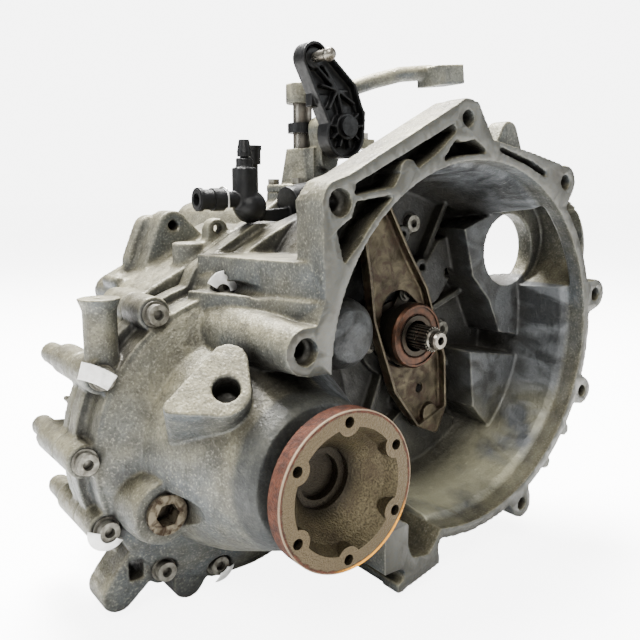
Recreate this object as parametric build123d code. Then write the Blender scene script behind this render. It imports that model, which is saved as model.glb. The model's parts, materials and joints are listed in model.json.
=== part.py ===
"""Transverse two-shaft five-speed manual transmission with its differential.

Frame: millimetres, +Z up, +Y from the engine towards the end cover, +X to the starter side.
The origin is where the input shaft's axis meets the bell housing's engine face.
"""
from build123d import *
import math
import os

# ---- driving dimensions -------------------------------------------------------------------
DIFF = (-147.0, -62.0)          # differential axis (x, z)
OUTPUT = (-68.0, 8.0)           # output shaft axis
INPUT = (0.0, 0.0)              # input shaft axis
IDLER = (-14.3, -38.9)          # reverse idler axis
SELECTOR = (-36.0, 168.0)       # upright selector shaft (x, y)

BELL_R = 135.0                  # bell bore at the engine face
BELL_WALL = 8.0
BACK_WALL_Y = 97.0              # bell side of the bulkhead
PARTING_Y = 130.0               # clutch housing meets gearbox housing
END_WALL_Y = 288.0              # inner side of the gearbox housing's end wall
COVER_Y = 310.0                 # gearbox housing meets end cover
COVER_END_Y = 358.0

FLANGE_R = 50.0                 # drive flange, 100 mm across
FLANGE_FACE_Y = -31.6
FLANGE_PCD = 86.0
FLANGE_THREAD_R = 3.4           # tapping size of the M8 holes
FLANGE_HOLE_ANGLES = range(30, 390, 60)
DIFF_MID_Y = 104.0              # centre of the bevel gears
CASE_BOLT_HEAD_Y = 100.0

GEAR_MODULE = 2.0 * math.dist(INPUT, OUTPUT) / 48.0
FINAL_MODULE = 2.0 * math.dist(OUTPUT, DIFF) / 88.0
PINION_TEETH = 18
RING_TEETH = 70
PRESSURE = math.radians(25.0)
RUN = 0.05                      # radial clearance of a running fit

# Bell housing holes: (x, z, lug radius, hole radius)
BELL_HOLES = {
    "a": (-129.0, 106.6, 14.0, 5.5),
    "b": (-17.7, 162.6, 13.5, 5.5),
    "c": (97.6, 121.3, 13.0, 5.5),
    "d": (149.6, 28.4, 12.5, 5.5),
    "e": (139.0, -54.7, 11.5, 5.0),
    "f": (62.8, -137.5, 11.5, 5.0),
    "g": (-74.3, -155.6, 13.5, 5.5),
    "h": (-154.8, 17.9, 15.0, 5.5),
}
DOWEL_HOLES = ("a", "h")
STARTER = (107.0, 64.5, 31.0)   # x, z and radius of the starter's opening
STARTER_FLOOR_Y = 59.0          # bell side of the plate that the starter bolts to


# ---- helpers ------------------------------------------------------------------------------
def cyl(x, z, r, y0, y1):
    """Cylinder along Y from y0 to y1."""
    return Pos(x, (y0 + y1) / 2, z) * Rot(90, 0, 0) * Cylinder(r, y1 - y0)


def post(x, y, r, z0, z1):
    """Cylinder along Z from z0 to z1."""
    return Pos(x, y, (z0 + z1) / 2) * Cylinder(r, z1 - z0)


def block(x0, x1, y0, y1, z0, z1):
    return Pos((x0 + x1) / 2, (y0 + y1) / 2, (z0 + z1) / 2) * Box(x1 - x0, y1 - y0, z1 - z0)


def section(face, y0, y1):
    """Push a face drawn in (x, z) along Y from y0 to y1."""
    upright = Plane((0, y0, 0), x_dir=(1, 0, 0), z_dir=(0, -1, 0))
    return extrude(upright * face, amount=y1 - y0, dir=(0, 1, 0))


def slab(points, y0, y1):
    """Polygon in (x, z), from y0 to y1."""
    return section(make_face(Polyline(*points, close=True)), y0, y1)


def hull(circles, y0, y1):
    """Convex outline round circles (x, z, r), from y0 to y1."""
    rings = [Pos(x, z) * Circle(r).edge() for x, z, r in circles]
    return section(make_hull(rings), y0, y1)


def turned(axis, profile):
    """Profile of (radius, y) points, turned about the line along Y through axis (x, z)."""
    face = make_face(Polyline(*profile, close=True))
    return Pos(axis[0], 0, axis[1]) * revolve(face, Axis.Y)


def ring(axis, r_in, r_out, y0, y1):
    return turned(axis, [(r_in, y0), (r_out, y0), (r_out, y1), (r_in, y1)])


def rod(start, end, r):
    """Cylinder between two points."""
    a, b = Vector(*start), Vector(*end)
    return Plane(origin=a, z_dir=b - a) * Pos(0, 0, (b - a).length / 2) * Cylinder(r, (b - a).length)


def bar(p, q, width, y0, y1):
    """Straight rib between two points in (x, z)."""
    dx, dz = q[0] - p[0], q[1] - p[1]
    run = math.hypot(dx, dz)
    nx, nz = -dz / run * width / 2, dx / run * width / 2
    return slab([(p[0] + nx, p[1] + nz), (p[0] - nx, p[1] - nz),
                 (q[0] - nx, q[1] - nz), (q[0] + nx, q[1] + nz)], y0, y1)


def polar(axis, r, degrees):
    """Point in (x, z) at an angle measured from +X towards +Z."""
    a = math.radians(degrees)
    return axis[0] + r * math.cos(a), axis[1] + r * math.sin(a)


def fuse(shapes):
    return shapes[0] + shapes[1:] if len(shapes) > 1 else shapes[0]


def group(shapes):
    """Separate solids kept together in one node."""
    return Compound(children=[s for shape in shapes for s in shape.solids()])


os.makedirs("parts", exist_ok=True)
NODES = []


def save(name, shape):
    NODES.append(name)
    export_step(shape, f"parts/{name}.step")


# ---- clutch release, reverse and slave cylinder places that the castings share --------------
PIVOT = (28.0, -72.0)            # ball stud under the release lever
SLAVE = (-43.5, 112.0)           # push rod axis
SLAVE_Y = 122.0                  # the slave cylinder's middle plane
SLAVE_COLUMN_X = -122.0
REVERSE_ROD = (24.0, -36.0)


def slave_clearance():
    """Room in the castings for the slave cylinder's horn and barrel."""
    knee = (SLAVE_COLUMN_X + 4, SLAVE_Y, 103)
    elbow = (SLAVE_COLUMN_X + 38, SLAVE_Y, 105)
    return [Pos(*knee) * Sphere(14), rod(knee, elbow, 14), Pos(*elbow) * Sphere(14.5),
            rod(elbow, (SLAVE[0], 126, SLAVE[1]), 14.5), cyl(*SLAVE, 16, 103.5, 138),
            post(SLAVE_COLUMN_X, SLAVE_Y, 11, 96, 140)]


# ---- gears --------------------------------------------------------------------------------
def tooth_half_angle(teeth, r, module, slack):
    """Half the angle that one involute tooth fills at radius r."""
    pitch_r = teeth * module / 2
    base_r = pitch_r * math.cos(PRESSURE)
    involute = 0.0
    if r > base_r:
        a = math.acos(base_r / r)
        involute = math.tan(a) - a
    at_pitch = math.tan(PRESSURE) - PRESSURE
    return (math.pi / 2 - slack) / teeth + at_pitch - involute


def gear_outline(teeth, module, phase=0.0, slack=0.12, tip=0.8, root=1.1):
    """Closed outline in (x, z); phase is the angle of the first tooth's middle in degrees."""
    pitch_r = teeth * module / 2
    radii = (pitch_r - root * module, pitch_r, pitch_r + tip * module)
    points = []
    for k in range(teeth):
        middle = math.radians(phase) + 2 * math.pi * k / teeth
        flank = [(r, tooth_half_angle(teeth, r, module, slack)) for r in radii]
        points += [(r * math.cos(middle - h), r * math.sin(middle - h)) for r, h in flank]
        points += [(r * math.cos(middle + h), r * math.sin(middle + h)) for r, h in reversed(flank)]
    return points


def gear(axis, teeth, module, y0, y1, phase=0.0, bore=0.0):
    outline = [(axis[0] + x, axis[1] + z) for x, z in gear_outline(teeth, module, phase)]
    body = slab(outline, y0, y1)
    return body - cyl(*axis, bore, y0 - 1, y1 + 1) if bore else body


def bearing_angle(a, b):
    """Direction from axis a to axis b in degrees."""
    return math.degrees(math.atan2(b[1] - a[1], b[0] - a[0]))


def mesh_phase(a, teeth_a, phase_a, b, teeth_b):
    """Phase of gear b, so that a gap of b faces each tooth of a on the centre line."""
    to_b = bearing_angle(a, b)
    from_tooth = (to_b - phase_a) * teeth_a / 360.0
    return to_b + 180.0 + (from_tooth + 0.5) * 360.0 / teeth_b


def bevel_gear(teeth, module, mate_teeth, keep):
    """Straight bevel gear with its apex at the origin and its large end towards +Z."""
    far = mate_teeth * module / 2
    outline = gear_outline(teeth, module, slack=0.2, tip=0.62, root=0.95)
    big = [(x, y, far) for x, y in outline]
    small = [(x * keep, y * keep, far * keep) for x, y in outline]
    faces = [Face(Wire.make_polygon(big)), Face(Wire.make_polygon(small))]
    for k in range(len(big)):
        j = (k + 1) % len(big)
        faces.append(Face(Wire.make_polygon([big[k], big[j], small[j], small[k]])))
    return Solid(Shell(faces))


def roller_bearing(axis, r_in, r_race, r_seat, y0, y1, rollers=14):
    """Outer ring with its rollers, and the inner ring that turns with the shaft."""
    roller_r = (r_race[1] - r_race[0]) / 2 - RUN
    mid = (r_race[0] + r_race[1]) / 2
    outer = [ring(axis, r_race[1], r_seat, y0, y1)]
    for k in range(rollers):
        outer.append(cyl(*polar(axis, mid, 360 * k / rollers), roller_r, y0 + 2, y1 - 2))
    return group(outer), ring(axis, r_in, r_race[0], y0, y1)


# ---- shared casting shapes ------------------------------------------------------------------
NECK_END_Y = -4.0
DOME = [(0, NECK_END_Y), (47, NECK_END_Y), (50, 0), (53, 12), (62, 34), (73, 62), (79, 86),
        (99, 95), (106, 100), (106, 122), (0, 122)]
DOME_CAVITY = [(0, 34), (40, 34), (44, 38), (62, 64), (66, 90), (84, 101), (92, 103),
               (92, PARTING_Y + 1), (0, PARTING_Y + 1)]
RAIL_ROOM = [(*INPUT, 50), (28, 60, 14), (10, 72, 14), (-68, 84, 14), (*IDLER, 34)]
GEAR_ROOM = RAIL_ROOM + [(*OUTPUT, 64)]        # round the large first gear
REAR_ROOM = RAIL_ROOM + [(*OUTPUT, 50)]        # behind it, clear of the right drive flange
REAR_ROOM_Y = 160.0
CASE_WALL = 7.0
RAILS = {"1_2": (-68.0, 84.0), "3_4": (10.0, 72.0), "5": (28.0, 60.0)}
RAIL_R = 6.0
CASE_BOLTS = [(-258.4, -57.7), (-244.6, -4.0), (-206.7, 33.4), (-155.3, 48.9), (-246.9, -107.0),
              (-207.9, -148.0), (-165.9, -157.3), (24, 88), (56, 46), (62, -6), (44, -46),
              (-4, -86), (-60, -142)]
BOLT_BOSS_R = 11.5
COVER_ROOM = [(*INPUT, 46), (*OUTPUT, 42), (28, 60, 13)]


def grown(circles, extra):
    return [(x, z, r + extra) for x, z, r in circles]


def case_outline(y0, y1, extra=0.0):
    """Outline that the two housings share at the parting face."""
    return [hull(grown(GEAR_ROOM, CASE_WALL + extra), y0, y1), cyl(*DIFF, 106 + extra, y0, y1),
            hull([(-155, 49, 10 + extra), (-112, 74, 10 + extra), (-68, 84, 20 + extra),
                  (-68, 8, 60), (-147, -30, 60)], y0, y1)]


# ---- clutch housing -------------------------------------------------------------------------
def bell_shell():
    outer = turned(INPUT, [(0, 0), (BELL_R + BELL_WALL, 0), (BELL_R + BELL_WALL, 12), (140, 15),
                           (133, 88), (126, 112), (0, 112)])
    lugs = []
    for x, z, r, _ in BELL_HOLES.values():
        inward = polar(INPUT, BELL_R - 3, bearing_angle(INPUT, (x, z)))
        lugs.append(hull([(x, z, r), (*inward, r + 3)], 0, 17))
        lugs.append(hull([(x, z, r * 0.55), (*inward, r)], 16, 34))
    for angle, reach in ((-35, 160), (-48, 158), (-104, 158)):
        tip = polar(INPUT, reach - 6, angle)
        lugs.append(hull([(*tip, 5.5), (*polar(INPUT, 134, angle), 9)], 6, 24))
    return [outer] + lugs


def top_frame():
    """Bar between the two top bolts with the ribbed pockets under it."""
    frame = slab([(-143, 108), (-134, 119.5), (-121, 124), (-22, 175), (-8, 174.5), (-2, 166),
                  (9, 150), (58, 142), (92, 135), (100, 120), (60, 110), (-60, 100),
                  (-120, 60), (-141, 50)], 0, 28)
    pockets = [
        slab([(-117, 117.5), (-118, 111), (-85, 116.5), (-80, 125), (-72.5, 130), (-64, 128.5),
              (-46.6, 139), (-29, 153.5), (-31, 158.5)], -1, 23),
        slab([(-116.4, 107), (-87, 111), (-86, 108), (-101, 93.5), (-126, 69), (-131.5, 90),
              (-120, 97)], -1, 23),
        slab([(-43, 132), (-29.5, 148), (-22, 146.5), (-10, 149), (1.5, 142.5), (4, 139),
              (-14, 138)], -1, 23),
        slab([(13, 144), (18, 145), (56, 135.5), (73, 128.5), (72, 124.5), (48, 133.5),
              (20, 141)], -1, 18),
    ]
    pockets = fuse(pockets) - cyl(*INPUT, BELL_R + 4.5, -2, 24)
    boss = cyl(-72.5, 126, 8, 0, 27)
    tab = hull([(62, 158, 10), (52, 136, 12), (72, 132, 12)], 28, 44)
    return frame, pockets, [boss, tab]


def left_shoulder():
    """Shelf and tapered boss between the engine face and the parting face."""
    shelf_plan = make_face(Polyline((-139, 0), (-146, 30), (-165, 118), (-60, 118), (-60, 0),
                                    close=True))
    shelf = extrude(shelf_plan, amount=70, dir=(0, 0, 1))
    skirt_plan = make_face(Polyline((-141, 0), (-152, 40), (-178, 108), (-60, 108), (-60, 0),
                                    close=True))
    skirt = Pos(0, 0, -12) * extrude(skirt_plan, amount=58, dir=(0, 0, 1))
    boss = turned((-154.8, 17.9), [(0, 0), (15, 0), (16, 20), (24, 92), (0, 96)])
    strip = slab([(-142, 112), (-140, 99), (-138, 78), (-136, 66), (-139, 52), (-148, 30),
                  (-130, 20), (-122, 60), (-128, 70), (-130, 108)], 0, 24)
    return [shelf, skirt, boss, strip]


def mount_pad():
    """Slanted three-cornered pad with one large hole."""
    face = Plane(origin=(-200, 22, -3), x_dir=(0.88, -0.47, 0), z_dir=(-0.36, -0.66, 0.66))
    outline = make_hull([Pos(x, y) * Circle(r).edge() for x, y, r in
                         ((0, 0, 17), (-30, -9, 5), (4, 20, 12))])
    pad = extrude(face * outline, amount=-62)
    hole = face * Pos(2, 1) * Cylinder(8.5, 44)
    return pad, hole


def starter_mount():
    x, z, r = STARTER
    outer = turned((x, z), [(0, 14), (r + 17, 16), (r + 22, 44), (r + 22, 74), (0, 74)])
    ear = hull([(176, 70, 24), (x, z, r + 12)], 52, 70)
    scoop = cyl(x + 5, z + 6.5, r + 8.5, 13, STARTER_FLOOR_Y)
    return [outer, ear], [cyl(x, z, r, 20, 128), scoop]


BACK_WALL_SCREWS = [(-40, 92), (4, 80), (26, 52), (30, 20), (-78, 60), (44, -28), (10, -62),
                    (-34, -80)]
MID_FEET = [(-240, -158, 12), (-188, -166, 12)]


def back_wall_detail():
    """Ribs, screw bosses and steps on the bell side of the bulkhead."""
    parts = [cyl(x, z, 7.5, 84, 99) for x, z in BACK_WALL_SCREWS]
    parts.append(ring(INPUT, 26, 38, 90, 99))
    for angle in (20, 62, 104, -30, -68, -112):
        parts.append(bar(polar(INPUT, 37, angle), polar(INPUT, 122, angle), 5, 86, 99))
    parts.append(turned(OUTPUT, [(0, 56), (10, 57), (20, 61), (26, 68), (28.5, 78), (29, 99), (0, 99)]))
    parts.append(hull([(34, 36, 16), (52, 60, 16)], 82, 99))
    parts.append(slab([(60, -20), (128, -32), (120, -70), (92, -96), (66, -70)], 58, 99))
    parts.append(slab([(20, -60), (74, -88), (60, -118), (0, -130), (-30, -126), (-20, -90)], 86, 99))
    parts.append(slab([(84, 96), (126, 40), (128, -14), (100, -8), (84, 22), (62, 44), (50, 84)],
                      60, 99))
    return parts


def clutch_housing():
    starter, starter_holes = starter_mount()
    frame, pockets, frame_bosses = top_frame()
    pad, pad_hole = mount_pad()
    dome = turned(DIFF, DOME)
    shell = fuse(bell_shell() + [frame] + left_shoulder() + starter)
    shell = fuse([shell - pockets] + frame_bosses)
    shell -= slab([(-300, 2), (-139, 2), (-124, -4), (-75, -40), (-75, -200), (-300, -200)], -1, 46)
    g_column = slab([(-88, -150), (-88, -118), (-75, -106), (-62, -110), (-62, -150)], 0, 34)
    shell = fuse([shell, g_column])
    toe = slab([(-74, -168.5), (-53.5, -164), (-32.5, -158.5), (-34.5, -145), (-28, -128),
                (-75, -118)], 0, 52)
    toe_pocket = slab([(-66, -134), (-61, -145), (-45, -147.5), (-39.7, -141.6), (-32.2, -131),
                       (-34, -118), (-66, -106)], -1, 42)
    shell = fuse([shell, toe]) - toe_pocket
    cavity = turned(INPUT, [(0, -5), (BELL_R, -5), (BELL_R, 14), (131, 20), (124, 70),
                            (116, BACK_WALL_Y), (0, BACK_WALL_Y)])
    shell -= cavity
    inside = fuse(back_wall_detail()) & turned(INPUT, [(0, 0), (136, 0), (126, 112), (0, 112)])
    behind = fuse(case_outline(BACK_WALL_Y + 0.5, PARTING_Y))
    flange = fuse(case_outline(116, PARTING_Y, 7))
    bosses = [cyl(x, z, BOLT_BOSS_R, CASE_BOLT_HEAD_Y, PARTING_Y) for x, z in CASE_BOLTS]
    bosses += [hull([(x, z, r), (*polar(DIFF, 96, bearing_angle(DIFF, (x, z))), r + 4)], 100, 128)
               for x, z, r in MID_FEET]
    bosses.append(hull([(-240, -150, 8), (-205, -120, 10)], 106, 126))
    lug_post = post(-240, 110, 11, -6, 38) + Pos(-240, 110, 42) * Cone(11, 14, 8)
    plug_boss = turned((-219.5, -91), [(0, 66), (21, 66), (23, 74), (24, 98), (0, 98)])
    plug_web = hull([(-219.5, -91, 17), (-196, -64, 6)], 70, 98)
    body = fuse([shell, inside, behind, flange, dome, pad, lug_post, plug_boss, plug_web] + bosses)

    room = hull(GEAR_ROOM, 107, PARTING_Y + 1)
    cuts = [turned(DIFF, DOME_CAVITY), room, pad_hole,
            cyl(*DIFF, 33, -6, 13), cyl(*DIFF, 36, 12, 36),
            cyl(*INPUT, 28, 100.5, 120), cyl(*INPUT, 24, 80, 102),
            cyl(*OUTPUT, 24, 66, 110),
            cyl(-219.5, -91, 11.5, 60, 84), cyl(-219.5, -91, 15, 40, 66), post(-240, 110, 2.6, 24, 60),
            block(-232, -222, 96, 140, -150, -136)]
    for name, (x, z, _, hole_r) in BELL_HOLES.items():
        cuts.append(cyl(x, z, hole_r, -1, 60 if name == "h" else 40))
    for name in DOWEL_HOLES:
        cuts.append(cyl(BELL_HOLES[name][0], BELL_HOLES[name][1], 8.5, -1, 9))
    for x, z in CASE_BOLTS:
        cuts.append(cyl(x, z, 4.4, CASE_BOLT_HEAD_Y - 60, PARTING_Y + 1))
        cuts.append(cyl(x, z, 9, CASE_BOLT_HEAD_Y - 12, CASE_BOLT_HEAD_Y))
    for x, z in BACK_WALL_SCREWS:
        cuts.append(cyl(x, z, 2.8, 80, 95))
    cuts += [cyl(*PIVOT, 14, 60, 92), cyl(*PIVOT, 8.5, 90, 97), cyl(*SLAVE, 8, 60, 120),
             cyl(*SLAVE, 11, 40, 84)]
    body -= cuts + starter_holes + slave_clearance()
    rail_bosses = [ring(axis, RAIL_R + RUN, 11, 106, 127) for axis in RAILS.values()]
    seats = [ring(INPUT, 28, 32, 106, 118), ring(IDLER, 9, 13, 106, 126),
             ring(REVERSE_ROD, 5 + RUN, 9, 106, PARTING_Y)]
    return fuse([body] + rail_bosses + seats)


save("clutch_housing", clutch_housing())


# ---- gearbox housing and end cover ------------------------------------------------------------
RIGHT_NECK_Y = 2 * DIFF_MID_Y - NECK_END_Y
COVER_BOLT_OUT = 11.3            # end cover bolts lie this far outside the cover's room
END_COVER_BOLTS = [polar(INPUT, 46 + COVER_BOLT_OUT, a) for a in (-75, -30, 8)]
END_COVER_BOLTS += [polar((28, 60), 13 + COVER_BOLT_OUT, a) for a in (25, 95)]
END_COVER_BOLTS += [polar(OUTPUT, 42 + COVER_BOLT_OUT, a) for a in (105, 150, 200, 250)]


SHIFT_COVER_Z = 114.0
SHIFT_COVER_BOLTS = [polar(SELECTOR, 25.5, a) for a in (45, 135, 225, 315)]


def top_lugs():
    """Lifting and bracket lugs on the upper left of the gearbox housing."""
    lug = hull([(-154, 86, 13.5), (-172, 50, 10), (-124, 56, 14)], 176, 196)
    back = hull([(-164, 84, 12), (-176, 60, 10), (-140, 50, 14)], 194, 206)
    fan = [bar((-158, 76), (-198, 44), 5, 198, 204), bar((-158, 72), (-188, 34), 5, 190, 196),
           bar((-158, 70), (-178, 30), 5, 182, 188), hull([(-198, 46, 5), (-180, 36, 7)], 180, 206)]
    pad = post(-158, 144, 12, 40, 77)
    tall = hull([(-138, 86, 8.5), (-138, 60, 13)], 134, 145)
    holes = [cyl(-154, 88, 4.2, 170, 192), cyl(-138, 87, 3.6, 130, 150),
             post(-158, 144, 3.4, 60, 80)]
    return [lug, back, pad, tall] + fan, holes


def gearbox_housing():
    drum = turned(DIFF, [(0, 130), (106, 130), (106, 156), (98, 170), (64, 186), (50, 200),
                         (47, RIGHT_NECK_Y), (0, RIGHT_NECK_Y)])
    room = hull(GEAR_ROOM, PARTING_Y - 1, REAR_ROOM_Y) + hull(REAR_ROOM, REAR_ROOM_Y - 1, END_WALL_Y)
    walls = [hull(grown(GEAR_ROOM, CASE_WALL), 130, REAR_ROOM_Y + 6), drum,
             hull(grown(RAIL_ROOM, CASE_WALL) + [(*OUTPUT, 54.5)], 160, COVER_Y)]
    walls += case_outline(130, 142, 7)
    walls.append(hull(grown(COVER_ROOM, 17), 300, COVER_Y))
    walls.append(hull([(-190, 36, 12), (-150, 54, 14), (-100, 70, 18), (-100, 20, 20)], 130, 226))
    bosses = [hull([(x, z, BOLT_BOSS_R), (*polar(DIFF, 98, bearing_angle(DIFF, (x, z))), 10)],
                   130, 168) for x, z in CASE_BOLTS[:7]]
    bosses += [cyl(x, z, BOLT_BOSS_R, 130, 158) for x, z in CASE_BOLTS[7:]]
    bosses += [turned(p, [(0, 160), (9, 160), (8, 196), (5, 200), (0, 201)])
               for p in ((-247, -4), (-257, -58), (-248, -107))]
    ribs = [bar(polar(DIFF, 90, a), polar(DIFF, 105.5, a), 4, 142, 172) for a in range(150, 290, 14)]
    ribs += [block(x, x + 4, 142, 286, -84 + abs(x + 14) * 0.25, -56) for x in (-50, -26, -2)]
    foot = hull([(-20, -168, 10), (-20, -84, 26)], 236, 254)
    top_pad = post(*SELECTOR, 31, 60, SHIFT_COVER_Z) + post(-62, 206, 9, 60, SHIFT_COVER_Z - 4)
    lugs, lug_holes = top_lugs()
    body = fuse(walls + bosses + ribs + lugs + [foot, top_pad])
    drum_room = turned(DIFF, [(0, 129), (92, 129), (92, 150), (84, 162), (52, 176), (40, 182),
                              (40, 183), (0, 183)])
    cuts = [room, drum_room, cyl(*DIFF, 36, 180, 196), cyl(*DIFF, 33, 194, 214),
            cyl(*INPUT, 26, 280, COVER_Y + 1), cyl(*OUTPUT, 27, 280, COVER_Y + 1),
            cyl(*RAILS["1_2"], RAIL_R + RUN, 280, 307), cyl(*RAILS["3_4"], RAIL_R + RUN, 280, 307),
            cyl(*RAILS["5"], RAIL_R + RUN, 280, 312),
            post(*SELECTOR, 20, 76, 120), post(-62, 206, 2.2, 60, 120)]
    cuts += [cyl(x, z, 3.4, 128, 150) for x, z in CASE_BOLTS]
    cuts += [cyl(x, z, 2.6, 292, COVER_Y + 1) for x, z in END_COVER_BOLTS]
    cuts += [post(*p, 2.6, 98, 118) for p in SHIFT_COVER_BOLTS] + slave_clearance()
    webs = fuse([hull([(*IDLER, 13), (IDLER[0], -78, 13)], 191, 204),
                 hull([(*REVERSE_ROD, 9), (40, -50, 9)], 191, 204)])
    webs -= [cyl(*IDLER, 9, 190, 205), cyl(*REVERSE_ROD, 5 + RUN, 190, 205)]
    return fuse([body - (cuts + lug_holes), webs])


def end_cover():
    outer = hull(grown(COVER_ROOM, 5), COVER_Y, COVER_END_Y)
    rim = hull(grown(COVER_ROOM, 17), COVER_Y, COVER_Y + 8)
    ribs = [bar(polar((-34, 4), 20, a), polar((-34, 4), 60, a), 4, COVER_END_Y - 1, COVER_END_Y + 3)
            for a in range(0, 360, 45)]
    hub = cyl(-34, 4, 22, COVER_END_Y - 1, COVER_END_Y + 3)
    body = fuse([outer, rim, hub] + [r & hull(COVER_ROOM, COVER_Y, COVER_END_Y + 9) for r in ribs])
    cuts = [hull(COVER_ROOM, COVER_Y - 1, COVER_END_Y - 5)]
    cuts += [cyl(x, z, 3.3, COVER_Y - 1, COVER_Y + 12) for x, z in END_COVER_BOLTS]
    return body - cuts


save("gearbox_housing", gearbox_housing())
save("end_cover", end_cover())


# ---- bolts, plugs and small fixed pieces ---------------------------------------------------------
def socket_bolt(x, z, head_y, shank_r, length, head_r, head_h):
    """Socket-head bolt whose head rests on the face at head_y and whose shank runs along +Y."""
    head = cyl(x, z, head_r, head_y - head_h, head_y)
    shank = cyl(x, z, shank_r, head_y - 0.5, head_y + length)
    washer = cyl(x, z, head_r + 1.8, head_y - 1.6, head_y)
    return fuse([head, shank, washer]) - cyl(x, z, head_r * 0.5, head_y - head_h - 1, head_y - 3)


def hex_bolt(x, z, face_y, shank_r, length, across, head_h):
    """Hexagon bolt screwed in along -Y, with its head beyond the face at face_y."""
    head = section(Pos(x, z) * RegularPolygon(across / math.sqrt(3), 6).face(), face_y, face_y + head_h)
    return head + cyl(x, z, shank_r, face_y - length, face_y + 0.5)


save("case_bolts", group([socket_bolt(x, z, CASE_BOLT_HEAD_Y, 3.4, 44, 7.0, 7.5)
                          for x, z in CASE_BOLTS]))


def filler_plug():
    body = cyl(-219.5, -91, 11.5, 64.5, 84) + cyl(-219.5, -91, 13.5, 62, 66)
    hexagon = Pos(-219.5, -91) * RegularPolygon(8.2, 6).face()
    return body - section(hexagon, 60, 76)


save("filler_plug", filler_plug())

GUIDE_R = 16.5


def guide_sleeve():
    sleeve = turned(INPUT, [(12.6, 62), (GUIDE_R, 62), (GUIDE_R, 88), (25.5, 89), (25.5, 97),
                            (23.9, 97), (23.9, 100), (12.6, 100)])
    ears = [hull([(*polar(INPUT, 32, a), 5), (*polar(INPUT, 20, a), 9)], 86, 90)
            for a in (75, 195, 315)]
    holes = [cyl(*polar(INPUT, 32, a), 2.6, 80, 95) for a in (75, 195, 315)]
    return fuse([sleeve] + ears) - (holes + [cyl(*INPUT, 12.6, 60, 101)])


save("guide_sleeve", guide_sleeve())

# ---- shafts, gears and bearings ------------------------------------------------------------------
SHAFT_PHASE = 0.0
TEETH = {"1": (10, 38), "2": (15, 33), "3": (20, 28), "4": (23, 25), "5": (26, 22)}
REVERSE_TEETH = (12, 17, 32)
FIRST_Y, SECOND_Y, THIRD_Y = (138, 150), (206, 218), (224, 236)
FOURTH_Y, FIFTH_Y = (270, 282), (314, 326)
REVERSE_Y = (151.5, 183)
IDLER_Y = (151.5, 161.5)
SLEEVE_TEETH_Y = (170, 182)


def pair_phases(name):
    """Phases of the input and output gears of one ratio."""
    z_in, z_out = TEETH[name]
    return SHAFT_PHASE, mesh_phase(INPUT, z_in, SHAFT_PHASE, OUTPUT, z_out)


def splined(axis, r_root, r_tip, teeth, y0, y1):
    core = cyl(*axis, r_root, y0, y1)
    ridge = (r_tip - r_root) * 0.9
    ribs = [bar(polar(axis, r_root - 2, a), polar(axis, r_tip, a), ridge, y0, y1)
            for a in (360 * k / teeth for k in range(teeth))]
    return fuse([core] + ribs)


def input_shaft():
    core = turned(INPUT, [(0, 36), (6.2, 36), (7.4, 37.5), (7.4, 42), (8.6, 43), (8.6, 76), (11.2, 77),
                          (11.2, 100), (15, 101), (15, 118), (18, 119), (18, 136), (10.4, 138),
                          (10.4, 151), (12, 184), (13, 206), (16, 218), (16, 223), (13, 223.5),
                          (13, 300), (12, 306), (12, 350), (0, 350)])
    centre = turned(INPUT, [(0, 35), (3.6, 35), (3, 37), (3, 44), (0, 46)])
    z1, z2, zr = TEETH["1"][0], TEETH["2"][0], REVERSE_TEETH[0]
    gears = [gear(INPUT, z1, GEAR_MODULE, *FIRST_Y, pair_phases("1")[0]),
             gear(INPUT, z2, GEAR_MODULE, *SECOND_Y, pair_phases("2")[0]),
             gear(INPUT, zr, GEAR_MODULE, *REVERSE_Y, bearing_angle(INPUT, IDLER))]
    spline = splined(INPUT, 8.4, 9.9, 22, 44, 74)
    return fuse([core, spline] + gears) - centre


def output_shaft():
    core = turned(OUTPUT, [(0, 67), (12, 67), (12, 84), (16, 85), (16, 134), (15, 135), (15, 223),
                           (17, 223.5), (17, 288), (13, 289), (13, 300), (12, 306), (12, 342),
                           (0, 342)])
    pinion = gear(OUTPUT, PINION_TEETH, FINAL_MODULE, 108, 134, bearing_angle(OUTPUT, DIFF))
    return core + pinion


save("input_shaft", input_shaft())
save("output_shaft", output_shaft())


def idle_gear(axis, teeth, ys, phase, shaft_r, dogs):
    """Free-running gear with a dog ring on the side of its synchroniser."""
    body = gear(axis, teeth, GEAR_MODULE, *ys, phase)
    collars = [cyl(*axis, r, y0, y1) for r, y0, y1 in dogs]
    return fuse([body] + collars) - cyl(*axis, shaft_r + RUN, ys[0] - 30, ys[1] + 30)


save("first_gear", idle_gear(OUTPUT, TEETH["1"][1], FIRST_Y, pair_phases("1")[1], 15, [(26, 149, 165)]))
save("second_gear", idle_gear(OUTPUT, TEETH["2"][1], SECOND_Y, pair_phases("2")[1], 15,
                              [(26, 199, 207)]))


def fixed_gear(name, ys, bore):
    phase = SHAFT_PHASE + bearing_angle(OUTPUT, INPUT)
    return gear(OUTPUT, TEETH[name][1], GEAR_MODULE, *ys, phase, bore)


def idle_phase(name):
    """Phase of a gear on the input shaft, in mesh with its fixed gear on the output shaft."""
    z_in, z_out = TEETH[name]
    return mesh_phase(OUTPUT, z_out, SHAFT_PHASE + bearing_angle(OUTPUT, INPUT), INPUT, z_in)


save("driven_gears_3_4_5", group([fixed_gear("3", THIRD_Y, 17), fixed_gear("4", FOURTH_Y, 17),
                                  fixed_gear("5", FIFTH_Y, 12)]))
save("third_gear", idle_gear(INPUT, TEETH["3"][0], THIRD_Y, idle_phase("3"), 13, [(22, 235, 241)]))
save("fourth_gear", idle_gear(INPUT, TEETH["4"][0], FOURTH_Y, idle_phase("4"), 13,
                              [(22, 265.5, 271)]))
save("fifth_gear", idle_gear(INPUT, TEETH["5"][0], FIFTH_Y, idle_phase("5"), 12, [(22, 325, 330)]))

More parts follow.
